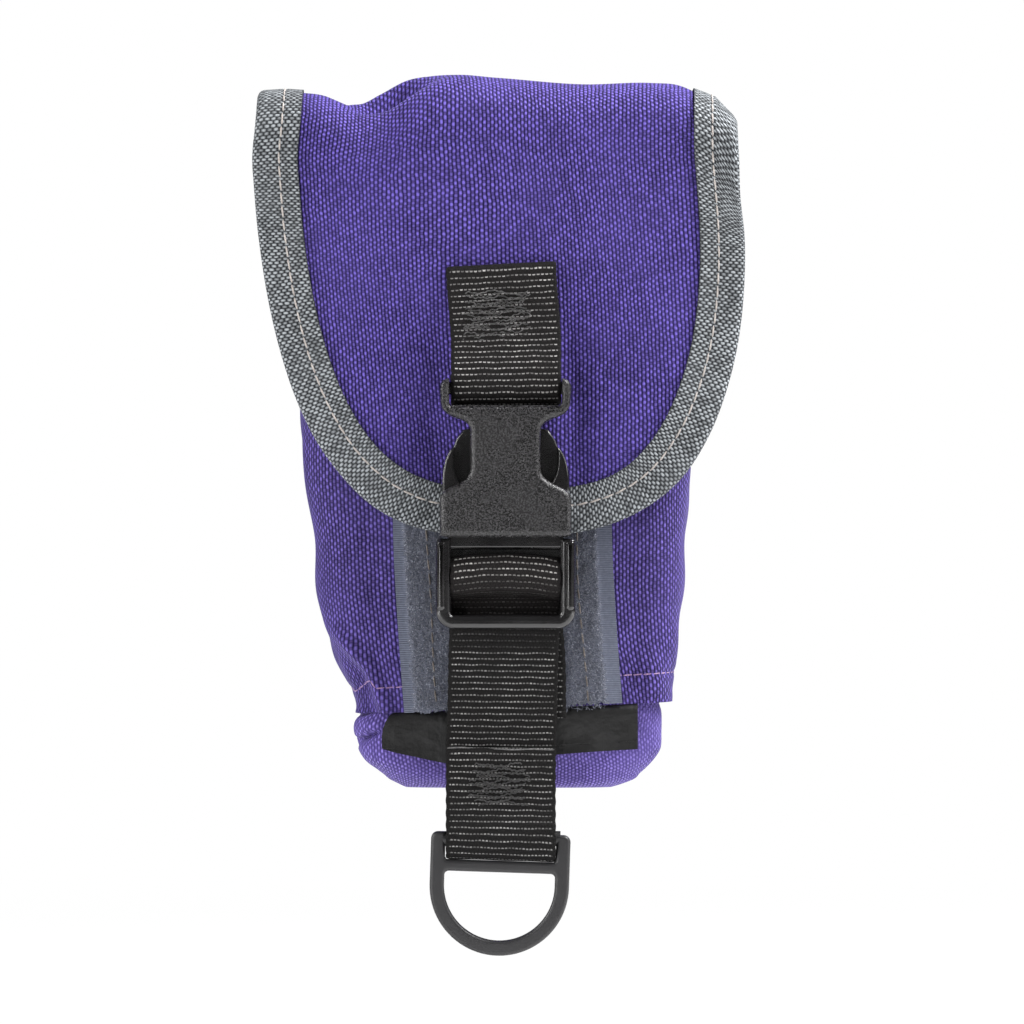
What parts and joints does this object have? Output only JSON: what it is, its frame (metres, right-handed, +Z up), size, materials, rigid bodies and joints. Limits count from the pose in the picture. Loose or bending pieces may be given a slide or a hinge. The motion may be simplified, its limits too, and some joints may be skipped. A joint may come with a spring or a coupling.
{
  "type": "phone belt pouch",
  "caption": "Upright woven pouch for a phone, with a bound flap, a side-release buckle on an adjustable strap, a D-ring and a belt loop.",
  "frame": {"origin": "centre of the inner top face of the belt loop, where the belt's upper edge bears", "axes": "+Z up as worn, -Y out of the front of the pouch, +X to the right seen from the front"},
  "size_m": [0.1108, 0.0501, 0.1999],
  "materials": {
    "shell_cloth": "coarse plain-weave nylon, purple",
    "lining_cloth": "fine plain-weave nylon, dark purple",
    "binding_tape": "woven binding tape, grey",
    "webbing": "ribbed webbing, black",
    "buckle_plastic": "fine spark-grain moulding, black",
    "ring_plastic": "smooth moulding, dark grey",
    "touch_fastener": "napped loop tape, blue grey",
    "label_satin": "satin ribbon, black",
    "thread": "sewing thread"
  },
  "bodies": {
    "pouch": {"back_panel": "shell_cloth", "front_panel": "shell_cloth", "gusset_left": "shell_cloth", "gusset_right": "shell_cloth", "base_panel": "shell_cloth", "mouth_binding": "binding_tape", "loop_patch": "touch_fastener", "label": "label_satin", "belt_loop": "webbing", "anchor_run": "webbing"},
    "flap": {"flap_shell": "shell_cloth", "flap_lining": "lining_cloth", "flap_binding": "binding_tape", "hook_patch": "touch_fastener", "flap_strap": "webbing", "flap_strap_tack": "thread", "buckle_socket": "buckle_plastic"},
    "plug": {"buckle_plug": "buckle_plastic", "strap_wrap": "webbing", "tail_run": "webbing"},
    "arm_left": {"plug_arm_left": "buckle_plastic"},
    "arm_right": {"plug_arm_right": "buckle_plastic"},
    "strap_end": {"strap_end": "webbing", "strap_end_tack": "thread"},
    "ring": {"d_ring": "ring_plastic"}
  },
  "joints": [
    {"name": "flap_open", "type": "hinge", "parent": "pouch", "child": "flap", "pos_m": [0, -0.0021, 0.0207], "axis": [-1, 0, 0], "range_deg": [0, 180]},
    {"name": "buckle_release", "type": "slide", "parent": "pouch", "child": "plug", "axis": [0, 0, -1], "range_m": [0, 0.024], "deforming": ["anchor_run"]},
    {"name": "squeeze_left", "type": "hinge", "parent": "plug", "child": "arm_left", "pos_m": [-0.0108, -0.0412, -0.068], "axis": [0, 1, 0], "range_deg": [0, 8], "stiffness_Nm_per_rad": 0.3},
    {"name": "squeeze_right", "type": "hinge", "parent": "plug", "child": "arm_right", "pos_m": [0.0108, -0.0412, -0.068], "axis": [0, -1, 0], "range_deg": [0, 8], "stiffness_Nm_per_rad": 0.3},
    {"name": "strap_adjust", "type": "slide", "parent": "plug", "child": "strap_end", "axis": [0, 0, 1], "range_m": [0, 0.02], "deforming": ["tail_run"]},
    {"name": "ring_swing", "type": "hinge", "parent": "strap_end", "child": "ring", "pos_m": [0, -0.03495, -0.13875], "axis": [-1, 0, 0], "range_deg": [-90, 90]}
  ],
  "couplings": [
    {"joint": "squeeze_right", "follows": "squeeze_left", "ratio": 1}
  ]
}
